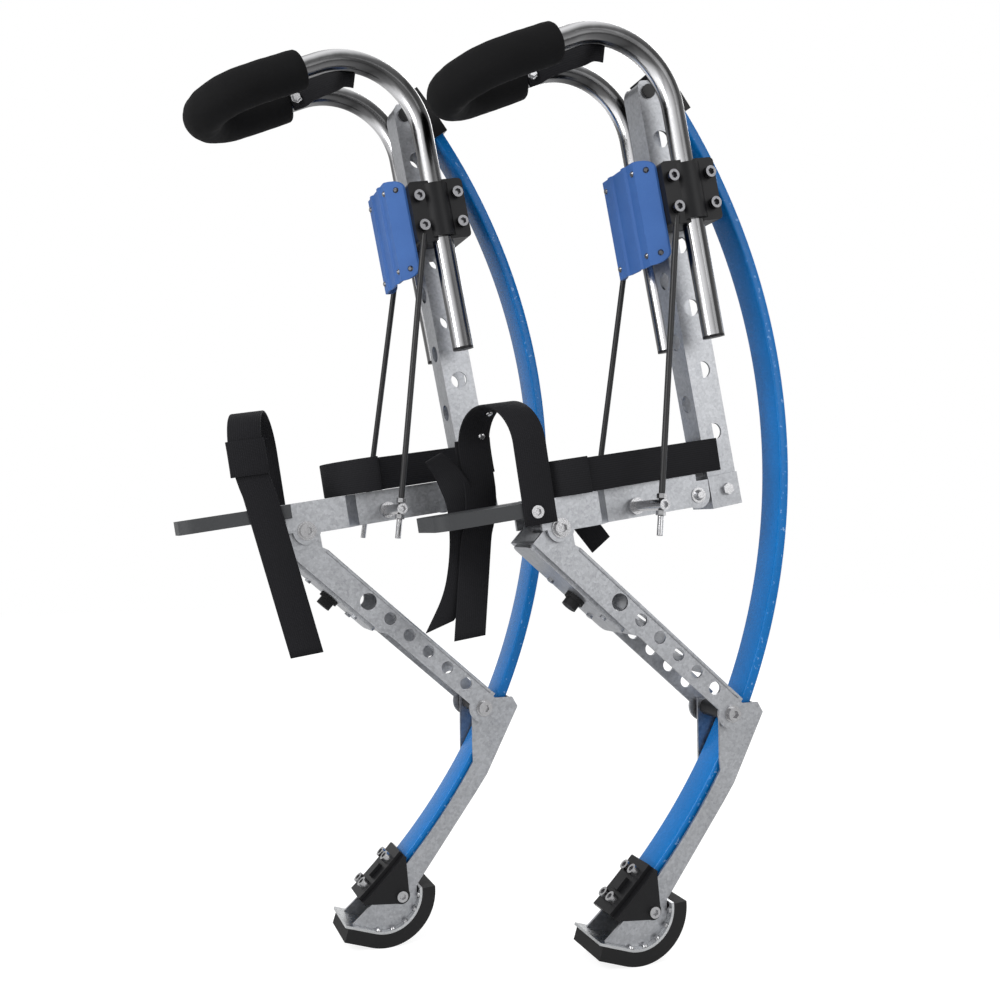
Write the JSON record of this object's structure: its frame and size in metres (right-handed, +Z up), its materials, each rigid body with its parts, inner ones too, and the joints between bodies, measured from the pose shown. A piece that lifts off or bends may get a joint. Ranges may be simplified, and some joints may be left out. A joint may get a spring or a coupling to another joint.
{
  "type": "pair of jumping stilts",
  "caption": "Pair of spring-leaf jumping stilts: bowed leaf springs, hinged lower arms, rounded rubber hooves, foot plates with straps, clamped uprights and padded knee bars.",
  "frame": {"origin": "on the ground, under the middle of the box around both stilts", "axes": "+X to the wearer's left, -Y the way the toes point, +Z up"},
  "size_m": [0.348, 0.7018, 1.0502],
  "materials": {
    "alloy": "satin",
    "chrome_tube": "polished",
    "zinc": "satin",
    "bright_plate": "bright",
    "blue_leaf": "gloss",
    "blue_plate": "satin",
    "black_moulding": "satin",
    "black_cast": "satin",
    "black_rod": "satin",
    "deck": "matte",
    "foam": "matte",
    "rubber": "matte",
    "webbing": "woven"
  },
  "bodies": {
    "left_frame": {"left_upright_channel": "alloy", "left_base_shoe": "alloy", "left_frame_plates": "alloy", "left_foot_plate": "deck", "left_frame_fasteners": "zinc", "left_front_pivot_bolt": "zinc", "left_cross_bar": "zinc", "left_stay_rods": "black_rod", "left_clamp_core": "black_moulding", "left_clamp_caps": "black_moulding", "left_clamp_fasteners": "zinc", "left_calf_plate": "blue_plate", "left_spring_pin": "black_rod", "left_toe_strap": "webbing", "left_ankle_strap": "webbing"},
    "left_knee": {"left_knee_bar": "chrome_tube", "left_knee_foam": "foam", "left_knee_strap": "webbing", "left_knee_bar_plugs": "black_moulding"},
    "left_arm": {"left_arm_channel": "alloy", "left_arm_bumper": "rubber", "left_rear_pivot_bolt": "zinc", "left_rear_pivot_sleeves": "black_moulding"},
    "left_spring": {"left_leaf_spring": "blue_leaf", "left_spring_bracket": "black_cast"},
    "left_foot": {"left_foot_channel": "alloy", "left_spring_clamp": "black_cast", "left_foot_fasteners": "zinc", "left_hoof_plate": "bright_plate", "left_hoof_sole": "rubber"},
    "right_frame": {"right_upright_channel": "alloy", "right_base_shoe": "alloy", "right_frame_plates": "alloy", "right_foot_plate": "deck", "right_frame_fasteners": "zinc", "right_front_pivot_bolt": "zinc", "right_cross_bar": "zinc", "right_stay_rods": "black_rod", "right_clamp_core": "black_moulding", "right_clamp_caps": "black_moulding", "right_clamp_fasteners": "zinc", "right_calf_plate": "blue_plate", "right_spring_pin": "black_rod", "right_toe_strap": "webbing", "right_ankle_strap": "webbing"},
    "right_knee": {"right_knee_bar": "chrome_tube", "right_knee_foam": "foam", "right_knee_strap": "webbing", "right_knee_bar_plugs": "black_moulding"},
    "right_arm": {"right_arm_channel": "alloy", "right_arm_bumper": "rubber", "right_rear_pivot_bolt": "zinc", "right_rear_pivot_sleeves": "black_moulding"},
    "right_spring": {"right_leaf_spring": "blue_leaf", "right_spring_bracket": "black_cast"},
    "right_foot": {"right_foot_channel": "alloy", "right_spring_clamp": "black_cast", "right_foot_fasteners": "zinc", "right_hoof_plate": "bright_plate", "right_hoof_sole": "rubber"}
  },
  "joints": [
    {"name": "left_knee_height", "type": "slide", "parent": "left_frame", "child": "left_knee", "axis": [0, -0.184, 0.9829], "range_m": [-0.04, 0.08]},
    {"name": "left_arm_pivot", "type": "hinge", "parent": "left_frame", "child": "left_arm", "pos_m": [0.079, 0.04242, 0.49], "axis": [1, 0, 0], "range_deg": [0, 18], "stiffness_Nm_per_rad": 850},
    {"name": "left_spring_pivot", "type": "hinge", "parent": "left_frame", "child": "left_spring", "pos_m": [0.079, 0.16912, 0.9966], "axis": [1, 0, 0], "range_deg": [-0.5, 16.54]},
    {"name": "left_spring_bend", "type": "hinge", "parent": "left_spring", "child": "left_foot", "pos_m": [0.079, 0.34396, 0.60271], "axis": [1, 0, 0], "range_deg": [-24.37, 0.5], "deforming": ["left_leaf_spring"]},
    {"name": "right_knee_height", "type": "slide", "parent": "right_frame", "child": "right_knee", "axis": [0, -0.184, 0.9829], "range_m": [-0.04, 0.08]},
    {"name": "right_arm_pivot", "type": "hinge", "parent": "right_frame", "child": "right_arm", "pos_m": [-0.079, -0.20758, 0.49], "axis": [1, 0, 0], "range_deg": [0, 18], "stiffness_Nm_per_rad": 850},
    {"name": "right_spring_pivot", "type": "hinge", "parent": "right_frame", "child": "right_spring", "pos_m": [-0.079, -0.08088, 0.9966], "axis": [1, 0, 0], "range_deg": [-0.5, 16.54]},
    {"name": "right_spring_bend", "type": "hinge", "parent": "right_spring", "child": "right_foot", "pos_m": [-0.079, 0.09396, 0.60271], "axis": [1, 0, 0], "range_deg": [-24.37, 0.5], "deforming": ["right_leaf_spring"]},
    {"name": "right_stilt_apart", "type": "slide", "parent": "left_frame", "child": "right_frame", "axis": [-1, 0, 0], "range_m": [0, 0.15]}
  ],
  "couplings": [
    {"joint": "left_spring_pivot", "follows": "left_arm_pivot", "ratio": 0.891},
    {"joint": "left_spring_bend", "follows": "left_arm_pivot", "ratio": -1.326},
    {"joint": "right_spring_pivot", "follows": "right_arm_pivot", "ratio": 0.891},
    {"joint": "right_spring_bend", "follows": "right_arm_pivot", "ratio": -1.326}
  ]
}
